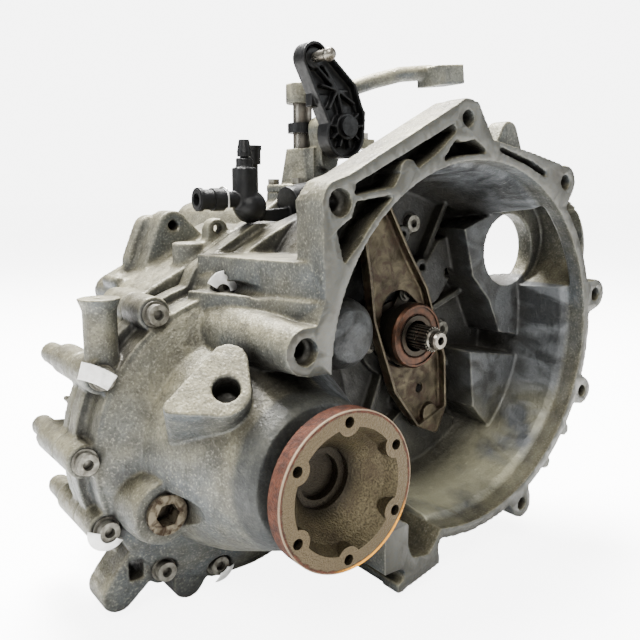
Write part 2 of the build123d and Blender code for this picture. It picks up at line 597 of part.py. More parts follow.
# Synchronisers: hub on the shaft, brass rings beside it, sleeve over it
save("hub_1_2", ring(OUTPUT, 15, 29, 172, 190))
save("hubs_3_4_and_5", group([ring(INPUT, 13, 24, 247, 259), ring(INPUT, 12, 24, 334, 344)]))
save("synchro_rings_1_2", group([ring(OUTPUT, 20, 28.6, 165.6, 171), ring(OUTPUT, 20, 28.6, 191, 198.4)]))
save("synchro_rings_3_4_5", group([ring(INPUT, 17, 23.6, 241.6, 246), ring(INPUT, 17, 23.6, 260, 264.9),
                                   ring(INPUT, 17, 23.6, 330.6, 333.4)]))


def sleeve(axis, r_hub, r_out, ys, groove):
    body = ring(axis, r_hub + RUN, r_out, *ys)
    return body - ring(axis, r_out - 4, r_out + 5, *groove)


def sleeve_1_2():
    body = sleeve(OUTPUT, 29, 37.5, (170, 194), (186, 192))
    teeth = gear(OUTPUT, REVERSE_TEETH[2], GEAR_MODULE, *SLEEVE_TEETH_Y, sleeve_phase(), 34)
    return body + teeth


def idler_phase():
    return mesh_phase(INPUT, REVERSE_TEETH[0], bearing_angle(INPUT, IDLER), IDLER, REVERSE_TEETH[1])


def sleeve_phase():
    return mesh_phase(IDLER, REVERSE_TEETH[1], idler_phase(), OUTPUT, REVERSE_TEETH[2])


save("sleeve_1_2", sleeve_1_2())
save("sleeve_3_4", sleeve(INPUT, 24, 31.5, (246, 260), (250, 256)))
save("sleeve_5", sleeve(INPUT, 24, 31.5, (333.5, 345.5), (337, 342)))

save("reverse_idler_shaft", cyl(*IDLER, 9, 108, 204))
save("reverse_idler_gear", gear(IDLER, REVERSE_TEETH[1], GEAR_MODULE, *IDLER_Y, idler_phase(), 9 + RUN)
     + ring(IDLER, 9 + RUN, 14, 161, 170))

# Bearings: bore, race radii, seat radius and the two faces of each
BEARINGS = {
    "input": (INPUT, [(15, (18.5, 24.0), 28, 103, 116), (13, (17.0, 22.0), 26, 290, 304)]),
    "output": (OUTPUT, [(12, (15.0, 20.0), 24, 67, 82), (13, (17.0, 22.5), 27, 290, 304)]),
}
OUTER_RINGS = []
for shaft, (axis, pair) in BEARINGS.items():
    made = [roller_bearing(axis, *sizes) for sizes in pair]
    OUTER_RINGS += [outer for outer, inner in made]
    save(f"{shaft}_bearing_inner_rings", group([inner for outer, inner in made]))
save("shaft_bearings", group(OUTER_RINGS))

# ---- differential ----------------------------------------------------------------------------------
BEVEL_MODULE = 3.2
SIDE_TEETH, BEVEL_TEETH = 14, 10


def differential_case():
    outer = turned(DIFF, [(13, 14), (20, 14), (20, 60), (40, 72), (46, 78), (46, 100), (64, 100),
                          (64, 108), (46, 108), (46, 132), (38, 142), (20, 154), (20, 194),
                          (13, 194)])
    room = turned(DIFF, [(0, 78), (27, 78), (33, 90), (33, 118), (27, 130), (0, 130)])
    window = block(DIFF[0] - 24, DIFF[0] + 24, 86, 122, DIFF[1] - 70, DIFF[1] + 70)
    bores = cyl(*DIFF, 13 + RUN, 20, 200)
    pin = rod((DIFF[0] - 45, DIFF_MID_Y, DIFF[1]), (DIFF[0] + 45, DIFF_MID_Y, DIFF[1]), 7)
    holes = [cyl(*polar(DIFF, 57, a), 3.4, 99, 109) for a in range(0, 360, 45)]
    return outer - fuse([room, window, bores]) - pin - fuse(holes)


def ring_gear():
    phase = mesh_phase(OUTPUT, PINION_TEETH, bearing_angle(OUTPUT, DIFF), DIFF, RING_TEETH)
    body = gear(DIFF, RING_TEETH, FINAL_MODULE, 108, 134, phase, 46)
    return body - [cyl(*polar(DIFF, 57, a), 3.4, 107, 123) for a in range(0, 360, 45)]


save("differential_case", differential_case())
save("ring_gear", ring_gear())
save("ring_gear_bolts", group([socket_bolt(*polar(DIFF, 57, a), 100, 3.4, 22, 6, 5)
                               for a in range(0, 360, 45)]))
save("cross_pin", rod((DIFF[0] - 45, DIFF_MID_Y, DIFF[1]), (DIFF[0] + 45, DIFF_MID_Y, DIFF[1]), 7))


def side_gear(side):
    """Bevel side gear; side is -1 on the engine side and +1 on the other."""
    cone = bevel_gear(SIDE_TEETH, BEVEL_MODULE, BEVEL_TEETH, 0.62)
    gear_shape = Pos(DIFF[0], DIFF_MID_Y, DIFF[1]) * Rot(90 if side < 0 else -90, 0, 0) * cone
    far = DIFF_MID_Y + side * (BEVEL_TEETH * BEVEL_MODULE / 2 - 0.2)
    back = cyl(*DIFF, 18, min(far, far + side * 7.5), max(far, far + side * 7.5))
    return fuse([gear_shape, back]) - cyl(*DIFF, 12, DIFF_MID_Y - 40, DIFF_MID_Y + 40)


def bevel_pinion(side):
    cone = bevel_gear(BEVEL_TEETH, BEVEL_MODULE, SIDE_TEETH, 0.62)
    shape = Pos(DIFF[0], DIFF_MID_Y, DIFF[1]) * Rot(0, 90 * side, 0) * cone
    hole = rod((DIFF[0] - 60, DIFF_MID_Y, DIFF[1]), (DIFF[0] + 60, DIFF_MID_Y, DIFF[1]), 7 + RUN)
    far = SIDE_TEETH * BEVEL_MODULE / 2 - 0.2
    back = rod((DIFF[0] + side * far, DIFF_MID_Y, DIFF[1]),
               (DIFF[0] + side * (far + 5), DIFF_MID_Y, DIFF[1]), 11)
    return fuse([shape, back]) - hole


save("left_side_gear", side_gear(-1))
save("right_side_gear", side_gear(1))
save("bevel_pinion_a", bevel_pinion(1))
save("bevel_pinion_b", bevel_pinion(-1))


def drive_flange():
    """Cup with six threaded holes and its stub shaft, on the engine side."""
    y0 = FLANGE_FACE_Y
    cup = turned(DIFF, [(12, 8), (26, 8), (26, -10), (30, -12), (46, -17), (FLANGE_R, -20),
                        (FLANGE_R, y0), (39.5, y0), (35, y0 + 8), (20, -6), (20, -2), (15, -2),
                        (15, 4), (0, 4), (0, 90), (12, 90)])
    pads = [hull([(*polar(DIFF, FLANGE_PCD / 2, a), 8.5), (*polar(DIFF, 48, a), 9)],
                 y0, y0 + 9) & cyl(*DIFF, FLANGE_R - 0.5, y0 - 1, y0 + 10) for a in FLANGE_HOLE_ANGLES]
    holes = [cyl(*polar(DIFF, FLANGE_PCD / 2, a), FLANGE_THREAD_R, y0 - 1, -5)
             for a in FLANGE_HOLE_ANGLES]
    return fuse([cup] + pads) - holes


def mirrored(shape):
    """The same piece on the far side of the differential."""
    return mirror(shape, about=Plane.XZ.offset(-DIFF_MID_Y))


LEFT_FLANGE = drive_flange()
save("left_drive_flange", LEFT_FLANGE)
save("right_drive_flange", mirrored(LEFT_FLANGE))
LEFT_SEAL = ring(DIFF, 26 + RUN, 33, -3.5, 6)
save("flange_seals", group([LEFT_SEAL, mirrored(LEFT_SEAL)]))
diff_outer, diff_inner = roller_bearing(DIFF, 20, (26, 31.5), 36, 14, 32, 18)
save("differential_bearings", group([diff_outer, mirrored(diff_outer)]))
save("differential_inner_rings", group([Pos(0, 16, 0) * diff_inner, Pos(0, -16, 0) * mirrored(diff_inner)]))

# ---- clutch release ---------------------------------------------------------------------------------
PIVOT_Y = 84.0
LEVER_ANGLE = 111.0              # direction of the lever from its pivot, from +X towards +Z
LEVER_Y = 77.0                   # bell side of the lever's web


def along(distance, side=0.0):
    """Point on the lever's centre line, at a distance from the pivot and off to one side."""
    x, z = polar(PIVOT, distance, LEVER_ANGLE)
    return polar((x, z), side, LEVER_ANGLE - 90)


def release_lever():
    """Pressed lever with raised edges, a window round the guide sleeve and a ball dimple."""
    plan = [(*along(-16), 3), (*along(0, -15), 4), (*along(0, 15), 4), (*along(40, -26.5), 5),
            (*along(40, 26.5), 5), (*along(104, -26.5), 5), (*along(104, 26.5), 5),
            (*along(140, -18), 5), (*along(140, 18), 5), (*along(191, -9), 5), (*along(191, 9), 5)]
    waist = [hull(plan[a:b], LEVER_Y - 7, LEVER_Y + 3) for a, b in ((0, 5), (3, 7), (5, 9), (7, 11))]
    inner = [hull(grown(plan[a:b], -2.6), LEVER_Y - 8, LEVER_Y) for a, b in
             ((1, 5), (3, 7), (5, 9), (7, 11))]
    tray = fuse(waist) - fuse(inner)
    window = hull([(*along(77), 27.5), (*along(96), 18)], LEVER_Y - 10, LEVER_Y + 6)
    dimple = cyl(*PIVOT, 8.5, LEVER_Y - 5, LEVER_Y + 3)
    socket = Pos(PIVOT[0], PIVOT_Y, PIVOT[1]) * Sphere(8.06)
    hole = cyl(*along(24), 4, LEVER_Y - 10, LEVER_Y + 6)
    cup = cyl(*along(195), 6, LEVER_Y - 4, LEVER_Y + 3)
    return fuse([tray, dimple, cup]) - window - socket - hole


save("release_lever", release_lever())
save("release_ball_stud", fuse([Pos(PIVOT[0], PIVOT_Y, PIVOT[1]) * Sphere(8.0),
                                cyl(*PIVOT, 6, PIVOT_Y + 4, 92), cyl(*PIVOT, 8.5, 91, BACK_WALL_Y)]))


def release_bearing():
    body = turned(INPUT, [(GUIDE_R + RUN, 63), (19, 61), (25, 61), (26.5, 63), (26.5, 72),
                          (22, 73), (22, 85), (GUIDE_R + RUN, 85)])
    groove = ring(INPUT, 18.2, 23.5, 59, 62.2)
    ears = [hull([(*along(77, 20 * s), 3.5), (*along(77, 22 * s), 3.5)], LEVER_Y - 8.5, LEVER_Y - 3)
            for s in (-1, 1)]
    return fuse([body - groove] + ears) - cyl(*INPUT, GUIDE_R + RUN, 55, 90)


save("release_bearing", release_bearing())


def slave_cylinder_body():
    """Plastic cylinder: upright bleed column, curved horn and the bore behind the lever."""
    x, y = SLAVE_COLUMN_X, SLAVE_Y
    knee, elbow = (x + 4, y, 103), (x + 38, y, 105)
    pieces = [post(x, y, 9.2, 100, 131), post(x, y, 6.2, 130, 138), rod((x, y, 108), (x - 20, y, 108), 6),
              Pos(*knee) * Sphere(12.5), rod(knee, elbow, 12.5), Pos(*elbow) * Sphere(12.5),
              rod(elbow, (SLAVE[0], 126, SLAVE[1]), 12.8), cyl(*SLAVE, 14.5, 104.5, 136),
              hull([(x, 96, 3), (x + 32, 94, 3), (x + 52, 100, 3)], y - 3, y + 3)]
    return fuse(pieces) - cyl(*SLAVE, 9 + RUN, 100, 134)


def slave_cylinder_piston():
    return fuse([cyl(*SLAVE, 9, 121, 133), cyl(*SLAVE, 4.5, 86, 122),
                 Pos(SLAVE[0], 85.5, SLAVE[1]) * Sphere(5)])


def slave_fittings():
    """Hydraulic line connector and the capped bleed screw."""
    x, y = SLAVE_COLUMN_X, SLAVE_Y
    shell = [rod((x - 19, y, 108), (x - 28, y, 108), 8.2), rod((x - 28, y, 108), (x - 40, y, 108), 7.2),
             rod((x - 36.5, y, 108), (x - 39.5, y, 108), 8.4)]
    bores = [rod((x - 42, y, 108), (x - 25, y, 108), 4.5), rod((x - 10, y, 108), (x - 24, y, 108), 6)]
    bleed = [post(x, y, 3.2, 138, 141), post(x, y, 5.2, 139, 142), Pos(x, y, 146.5) * Cone(5.4, 3.8, 9)]
    return group([fuse(shell) - bores, fuse(bleed)])


save("slave_cylinder_body", slave_cylinder_body())
save("slave_cylinder_piston", slave_cylinder_piston())
save("slave_fittings", slave_fittings())

# ---- gear shift ---------------------------------------------------------------------------------------
SHIFT_X, SHIFT_Y = SELECTOR
TOWER_TOP = 150.0
LEVER_PIVOT = (-31.0, 165.0)     # relay lever axis (x, z), along Y
LEVER_TOP = (-62.0, 214.0)


def shift_cover():
    """Cover with the selector tower and the cross tube that carries the relay lever."""
    plate = post(SHIFT_X, SHIFT_Y, 31, SHIFT_COVER_Z, SHIFT_COVER_Z + 6)
    tower = Pos(SHIFT_X, SHIFT_Y, 134) * Cone(19, 14, 30)
    collar = post(SHIFT_X, SHIFT_Y, 14, 140, TOWER_TOP)
    arm = hull([(LEVER_PIVOT[0], LEVER_PIVOT[1] - 1, 10.5), (SHIFT_X + 5, 140, 9)], 136, 152)
    strut = block(SHIFT_X - 8, SHIFT_X + 8, 142, 160, 116, 150)
    boss = cyl(*LEVER_PIVOT, 11, 134, 153)
    stay = block(-12, 12, 129.5, 146, 150, 158)
    stay_web = block(-32, 4, 136, 146, 150, 157)
    holes = [post(x, y, 3.3, 110, 122) for x, y in SHIFT_COVER_BOLTS]
    body = fuse([plate, tower, collar, arm, strut, boss, stay, stay_web])
    return body - holes - [post(SHIFT_X, SHIFT_Y, 8 + RUN, 100, 180),
                           cyl(*LEVER_PIVOT, 6, 125, 148)]


def m6_bolts():
    bolts = [hex_bolt(x, z, COVER_Y + 8, 2.6, 20, 10, 5) for x, z in END_COVER_BOLTS]
    bolts += [socket_bolt(*polar(INPUT, 32, a), 86, 2.6, 3.9, 4.2, 4) for a in (75, 195, 315)]
    for x, y in SHIFT_COVER_BOLTS:
        head = Pos(x, y, SHIFT_COVER_Z + 6) * extrude(RegularPolygon(5.4, 6), 5)
        bolts.append(head + post(x, y, 2.6, 99, SHIFT_COVER_Z + 7))
    return group(bolts)


save("shift_cover", shift_cover())
save("m6_bolts", m6_bolts())
save("relay_lever_pin", fuse([cyl(*LEVER_PIVOT, 6, 113, 148), cyl(*LEVER_PIVOT, 8, 110, 113)]))


def relay_lever():
    """Moulded lever: a ribbed web between a hub and a cupped top end."""
    px, pz = LEVER_PIVOT
    tx, tz = LEVER_TOP
    shoulder = (px + 1, pz + 27)

    def blade(inset, y0, y1):
        return fuse([hull([(px - 1, pz - 6, 19 - inset), (px + 2, pz + 6, 17 - inset),
                           (*shoulder, 9.5 - inset)], y0, y1),
                     hull([(px - 4, pz + 6, 15 - inset), (*shoulder, 9.5 - inset),
                           (tx, tz, 12 - inset)], y0, y1)])

    tray = blade(0, 114, 128) - blade(2.2, 112, 121)
    star = (px - 9, pz + 27)
    struts = [bar(star, tip, 1.8, 115, 122) for tip in
              ((tx + 9, tz - 5), (tx - 3, tz - 2), (px - 25, pz + 30), (px - 17, pz + 12), (px, pz),
               (px + 9, pz + 18), shoulder)]
    struts += [bar((px, pz), polar((px, pz), 17, angle), 1.8, 115, 122)
               for angle in (-75, -35, 5, 40, 180, 215, 250)]
    hub = cyl(px, pz, 10.5, 113.5, 132)
    tab = block(px - 31, px - 15, 120, 128, pz + 14, pz + 23)
    ball_seat = cyl(tx, tz, 8, 116, 124)
    return fuse([tray, hub, tab, ball_seat] + struts) - cyl(px, pz, 6 + RUN, 100, 140)


save("relay_lever", relay_lever())
save("relay_ball_pin", fuse([cyl(*LEVER_TOP, 4, 100, 114.5), Pos(LEVER_TOP[0], 98, LEVER_TOP[1]) * Sphere(5.2)]))
save("selector_ball_pin", fuse([post(2, 137, 3, 158, 177), Pos(2, 137, 179) * Sphere(4.2),
                                Pos(2, 137, 158) * extrude(RegularPolygon(7, 6), 5)]))


def selector_shaft():
    """Upright shaft with the finger that moves the shift rails."""
    shaft = post(SHIFT_X, SHIFT_Y, 8, 64, 202)
    hub = post(SHIFT_X, SHIFT_Y, 11, 66, 78)
    finger = block(SHIFT_X, SHIFT_X + 22, SHIFT_Y - 2.5, SHIFT_Y + 2.5, 69, 75)
    tip = post(SHIFT_X + 22, SHIFT_Y, 4, 69, 75)
    return fuse([shaft, hub, finger, tip])


def counterweight_lever():
    """Cast arm that ends in a square weight."""
    hub = post(SHIFT_X, SHIFT_Y, 14, 187, 203)
    path = [(SHIFT_X + 8, 164, 196), (0, 152, 200), (22, 144, 208), (46, 137, 215), (76, 131, 219)]
    arms = []
    for k in range(len(path) - 1):
        arms.append(rod(path[k], path[k + 1], 6.5))
        arms.append(Pos(*path[k + 1]) * Sphere(6.5))
    weight = Pos(90, 130, 217) * Rot(0, -8, 8) * Box(40, 24, 17)
    return fuse([hub] + arms + [weight]) - post(SHIFT_X, SHIFT_Y, 8, 170, 210)


save("selector_shaft", selector_shaft())
save("select_shoe", Pos(SHIFT_X, SHIFT_Y, 167) * (Cylinder(12.5, 8) - Cylinder(8 + RUN, 10)))
save("counterweight_lever", counterweight_lever())

NOTCH = 4.5                      # half the width of a rail's notch
RAIL_Y = (116.0, 298.0)


def rail(name):
    end = 341.5 if name == "5" else RAIL_Y[1]
    return cyl(*RAILS[name], RAIL_R, RAIL_Y[0], end)


def fork(axis, r_groove, ys, name):
    """Shift fork on its rail, with the dog that the selector finger moves."""
    x, z = RAILS[name]
    claw = ring(axis, r_groove + 0.4, r_groove + 10, *ys)
    toward = bearing_angle(axis, (x, z))
    keep = [polar(axis, 60, toward + a) for a in (-95, -45, 0, 45, 95)]
    claw &= slab([axis] + keep, ys[0] - 1, ys[1] + 1)
    stem = bar(polar(axis, r_groove + 4, toward), (x, z), 11, *ys)
    boss = cyl(x, z, 9.5, ys[0] - 6, ys[1] + 6)
    return [claw, stem, boss, rail(name)]


def fork_1_2():
    tip_x = SHIFT_X + 22
    plate = block(RAILS["1_2"][0], tip_x + 8, 140, 196, 80, 88)
    slot = block(SHIFT_X - 13, SHIFT_X + 17, SHIFT_Y - 19, SHIFT_Y + 19, 78, 90)
    notch = block(SHIFT_X, tip_x + 9, SHIFT_Y - NOTCH - 1, SHIFT_Y + NOTCH + 1, 78, 90)
    return fuse(fork(OUTPUT, 33.5, (186.3, 191.7), "1_2") + [plate - [slot, notch]])


def fork_3_4():
    tip_x = SHIFT_X + 22
    dog = block(tip_x - 4, RAILS["3_4"][0], SHIFT_Y - 14, SHIFT_Y + 14, 68, 76)
    notch = block(tip_x - 6, tip_x + 5, SHIFT_Y - NOTCH, SHIFT_Y + NOTCH, 66, 78)
    return fuse(fork(INPUT, 27.5, (250.3, 255.7), "3_4") + [dog - notch])


def fork_5():
    tip_x = SHIFT_X + 22
    dog = block(tip_x - 4, RAILS["5"][0], SHIFT_Y - 14, SHIFT_Y + 14, 56, 64)
    notch = block(tip_x - 6, tip_x + 5, SHIFT_Y - NOTCH, SHIFT_Y + NOTCH, 54, 66)
    return fuse(fork(INPUT, 27.5, (337.3, 341.7), "5") + [dog - notch])


save("fork_1_2", fork_1_2())
save("fork_3_4", fork_3_4())
save("fork_5", fork_5())


def reverse_shift_rod():
    """Rod and claw that slide the reverse idler into mesh."""
    shaft = cyl(*REVERSE_ROD, 5, 108, 206)
    claw = ring(IDLER, 14.4, 20, 163, 168.5)
    claw &= slab([IDLER, (IDLER[0] + 40, -80), (IDLER[0] + 60, -30), (IDLER[0] + 20, 20)], 160, 172)
    arm = bar(polar(IDLER, 17, bearing_angle(IDLER, REVERSE_ROD)), REVERSE_ROD, 8, 163, 168.5)
    return fuse([shaft, claw, arm])


save("reverse_shift_rod", reverse_shift_rod())
save("breather", fuse([post(-62, 206, 4.2, SHIFT_COVER_Z - 4, 140), post(-62, 206, 6.6, 138, 152),
                       post(-62, 206, 7.4, 150, 154)]))
print(len(NODES), "nodes")
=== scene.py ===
"""Looks of the manual transmission: rounded castings, weathered metal, moulded plastic and small trim."""
import json
import math

import bmesh
import bpy
import numpy as np
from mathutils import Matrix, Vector
from mathutils import noise as value_noise


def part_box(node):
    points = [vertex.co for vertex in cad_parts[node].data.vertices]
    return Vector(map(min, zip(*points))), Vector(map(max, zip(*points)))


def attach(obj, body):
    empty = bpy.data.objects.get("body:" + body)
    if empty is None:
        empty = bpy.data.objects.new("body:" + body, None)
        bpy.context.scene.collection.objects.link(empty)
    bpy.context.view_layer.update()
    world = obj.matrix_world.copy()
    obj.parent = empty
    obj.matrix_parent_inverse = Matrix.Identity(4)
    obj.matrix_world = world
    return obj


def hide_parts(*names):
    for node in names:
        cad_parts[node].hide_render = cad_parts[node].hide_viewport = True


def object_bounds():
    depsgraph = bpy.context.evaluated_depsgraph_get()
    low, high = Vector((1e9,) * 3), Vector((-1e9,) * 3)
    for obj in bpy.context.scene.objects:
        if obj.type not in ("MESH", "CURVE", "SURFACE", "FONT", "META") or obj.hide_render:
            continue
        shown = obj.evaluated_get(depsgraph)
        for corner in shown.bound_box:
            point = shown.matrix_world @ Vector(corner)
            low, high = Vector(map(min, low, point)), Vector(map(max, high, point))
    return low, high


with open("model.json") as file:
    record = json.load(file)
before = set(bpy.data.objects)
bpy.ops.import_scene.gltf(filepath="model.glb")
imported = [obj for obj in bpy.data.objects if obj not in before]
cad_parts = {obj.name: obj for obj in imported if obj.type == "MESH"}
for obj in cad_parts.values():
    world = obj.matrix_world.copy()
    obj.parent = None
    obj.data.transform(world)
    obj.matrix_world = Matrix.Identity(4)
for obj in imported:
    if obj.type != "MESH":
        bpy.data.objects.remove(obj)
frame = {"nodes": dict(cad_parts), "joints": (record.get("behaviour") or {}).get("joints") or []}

CAD_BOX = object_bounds()
NODES = frame["nodes"]


def axis_of(joint_name):
    """(x, z) of a shaft that lies along Y, in metres."""
    joint = next(j for j in frame["joints"] if j["name"] == joint_name)
    return joint["pos_m"][0], joint["pos_m"][2]


INPUT = axis_of("input_spin")
DIFF = axis_of("differential_spin")
FLANGE_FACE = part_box("left_drive_flange")[0].y
FAR_FLANGE_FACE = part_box("right_drive_flange")[1].y
FLANGE_R = (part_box("left_drive_flange")[1].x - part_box("left_drive_flange")[0].x) / 2
BELL_R = 0.135                      # radius of the bell's opening
HEAD_R = 0.007                      # radius of a case bolt's head
HEAD_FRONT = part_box("case_bolts")[0].y
ENGINE_FACE = 0.0                   # y of the machined plane that meets the engine
TRIANGLE_LIMIT = 190000
BACKGROUND_GLOW = 6.4               # how bright the surroundings look to the camera alone
FLOOR_GLOW = 6.0
WORLD_LIGHT = 0.35                  # how brightly the surroundings light the object


# ---- materials ------------------------------------------------------------------------------
class Surface:
    """A node material that is being put together."""

    def __init__(self, name, metallic, roughness):
        self.material = bpy.data.materials.new(name)
        self.material.use_nodes = True
        self.nodes = self.material.node_tree.nodes
        self.links = self.material.node_tree.links
        self.shader = self.nodes["Principled BSDF"]
        self.shader.inputs["Metallic"].default_value = metallic
        self.shader.inputs["Roughness"].default_value = roughness
        self.place = self.nodes.new("ShaderNodeTexCoord").outputs["Object"]
        self.normal = None

    def feed(self, socket, value):
        if isinstance(value, bpy.types.NodeSocket):
            self.links.new(value, socket)
        else:
            socket.default_value = value

    def noise(self, size, detail=3.0, stretch=(1, 1, 1), distortion=0.0):
        """Noise whose lumps are about size metres across, from 0 to 1."""
        mapping = self.nodes.new("ShaderNodeMapping")
        mapping.inputs["Scale"].default_value = stretch
        self.links.new(self.place, mapping.inputs["Vector"])
        node = self.nodes.new("ShaderNodeTexNoise")
        node.inputs["Scale"].default_value = 1 / size
        node.inputs["Detail"].default_value = detail
        node.inputs["Distortion"].default_value = distortion
        self.links.new(mapping.outputs["Vector"], node.inputs["Vector"])
        return node.outputs["Fac"]

    def spots(self, size):
        """Distance to the nearest of scattered points, about 0 to 1."""
        node = self.nodes.new("ShaderNodeTexVoronoi")
        node.inputs["Scale"].default_value = 1 / size
        self.links.new(self.place, node.inputs["Vector"])
        return node.outputs["Distance"]

    def ramp(self, value, low, high, start=0.0, end=1.0):
        """Value between low and high, spread over start to end."""
        node = self.nodes.new("ShaderNodeMapRange")
        self.feed(node.inputs["Value"], value)
        for name, number in (("From Min", low), ("From Max", high), ("To Min", start), ("To Max", end)):
            node.inputs[name].default_value = number
        return node.outputs["Result"]

    def math(self, operation, a, b=0.0):
        node = self.nodes.new("ShaderNodeMath")
        node.operation = operation
        self.feed(node.inputs[0], a)
        self.feed(node.inputs[1], b)
        return node.outputs["Value"]

    def times(self, *values):
        product = values[0]
        for value in values[1:]:
            product = self.math("MULTIPLY", product, value)
        return product

    def mix(self, share, a, b):
        """Colour a where share is 0 and b where it is 1."""
        node = self.nodes.new("ShaderNodeMix")
        node.data_type = "RGBA"
        self.feed(node.inputs["Factor"], share)
        self.feed(node.inputs["A"], a)
        self.feed(node.inputs["B"], b)
        return node.outputs["Result"]

    def along(self, axis):
        """Place along X, Y or Z, in metres."""
        node = self.nodes.new("ShaderNodeSeparateXYZ")
        self.links.new(self.place, node.inputs["Vector"])
        return node.outputs[axis]

    def facing(self, axis):
        """How squarely the true surface faces along an axis, from 0 to 1."""
        geometry = self.nodes.new("ShaderNodeNewGeometry")
        node = self.nodes.new("ShaderNodeSeparateXYZ")
        self.links.new(geometry.outputs["True Normal"], node.inputs["Vector"])
        return self.math("ABSOLUTE", node.outputs[axis])

    def upward(self):
        """Height part of the surface normal: 1 faces up and -1 faces down."""
        geometry = self.nodes.new("ShaderNodeNewGeometry")
        node = self.nodes.new("ShaderNodeSeparateXYZ")
        self.links.new(geometry.outputs["Normal"], node.inputs["Vector"])
        return node.outputs["Z"]

    def radius(self, axis):
        """Distance from a shaft axis (x, z)."""
        dx = self.math("SUBTRACT", self.along("X"), axis[0])
        dz = self.math("SUBTRACT", self.along("Z"), axis[1])
        squares = self.math("ADD", self.times(dx, dx), self.times(dz, dz))
        return self.math("SQRT", squares)

    def plane(self, y, depth=0.0006):
        """1 on the machined plane at y."""
        gap = self.math("ABSOLUTE", self.math("SUBTRACT", self.along("Y"), y))
        return self.times(self.ramp(gap, depth, depth * 1.6, 1, 0), self.ramp(self.facing("Y"), 0.9, 0.97))

    def hollow(self, distance):
        """1 deep in a corner, 0 in the open."""
        node = self.nodes.new("ShaderNodeAmbientOcclusion")
        node.samples = 6
        node.inputs["Distance"].default_value = distance
        return self.ramp(node.outputs["AO"], 0.3, 0.95, 1, 0)

    def edge(self):
        """1 on a sharp convex edge."""
        geometry = self.nodes.new("ShaderNodeNewGeometry")
        return self.ramp(geometry.outputs["Pointiness"], 0.52, 0.62)

    def bump(self, height, distance):
        node = self.nodes.new("ShaderNodeBump")
        node.inputs["Distance"].default_value = distance
        self.feed(node.inputs["Height"], height)
        if self.normal:
            self.links.new(self.normal, node.inputs["Normal"])
        self.normal = node.outputs["Normal"]

    def soften(self, radius):
        """Light catches the edges of machined pieces as on a small chamfer."""
        node = self.nodes.new("ShaderNodeBevel")
        node.samples = 4
        node.inputs["Radius"].default_value = radius
        self.normal = node.outputs["Normal"]

    def done(self, colour, roughness=None, metallic=None):
        self.feed(self.shader.inputs["Base Color"], colour)
        if roughness is not None:
            self.feed(self.shader.inputs["Roughness"], roughness)
        if metallic is not None:
            self.feed(self.shader.inputs["Metallic"], metallic)
        if self.normal:
            self.links.new(self.normal, self.shader.inputs["Normal"])
        return self.material


def rgb(red, green, blue):
    return (red, green, blue, 1.0)


CAST_LIGHT = rgb(0.185, 0.169, 0.108)
CAST_MID = rgb(0.088, 0.079, 0.05)
SHADE_AND_SCUFF_GREY = rgb(0.056, 0.068, 0.078)     # bluish grey: painted shade on faces that don't face up, and scuffs on machined planes
CAST_DARK = rgb(0.024, 0.022, 0.018)
CAST_DIRT_AND_SHADE = rgb(0.007, 0.006, 0.004)     # dirt and painted shade in corners
GLITTER = rgb(0.34, 0.33, 0.26)          # bright grains, worn edges and painted edge highlights
FACE = rgb(0.07, 0.067, 0.054)           # machined planes
NECK_R = 0.0525                          # housing behind the drive flange


def bell_stains_and_shade(s, colour):
    """Painted shade and stains inside the bell, the dark neck behind the drive flange and painted shade in
    the pockets outside the bell.
    """
    inside = s.times(s.ramp(s.radius(INPUT), BELL_R - 0.002, BELL_R + 0.001, 1, 0),
                     s.ramp(s.along("Y"), 0.001, 0.006))
    # painted shade: the inside of the bell takes darker colours than the outside, streaked with stains
    streak = s.ramp(s.noise(0.03, 6, (1, 0.5, 1), 1.6), 0.4, 0.6)
    shade = s.mix(streak, rgb(0.019, 0.021, 0.024), rgb(0.12, 0.128, 0.137))
    # lighter and warmer towards the bottom of the bell, in patches
    low = s.times(s.ramp(s.along("Z"), -0.1, -0.05, 1, 0), s.ramp(s.noise(0.05, 4), 0.35, 0.55))
    shade = s.mix(s.times(low, 0.85), shade, rgb(0.42, 0.4, 0.27))
    # painted shade: the inside of the bell darkens with depth from the engine face
    deep = s.ramp(s.along("Y"), 0.04, 0.075)
    shade = s.mix(s.times(deep, 0.95), shade, rgb(0.007, 0.006, 0.0045))
    colour = s.mix(s.times(inside, 0.9), colour, shade)
    neck = s.times(s.ramp(s.radius(DIFF), NECK_R, NECK_R + 0.0035, 1, 0),
                   s.ramp(s.along("Y"), 0.012, 0.018, 1, 0))
    colour = s.mix(s.times(neck, 0.8), colour, rgb(0.018, 0.021, 0.023))
    outside = s.ramp(s.radius(INPUT), BELL_R, BELL_R + 0.004)
    # painted shade: enclosed pockets outside the bell darken
    pocket_shade = s.times(s.ramp(s.along("Y"), 0.0015, 0.008), s.hollow(0.03), outside)
    return s.mix(s.times(pocket_shade, 0.9), colour, rgb(0.012, 0.011, 0.009))


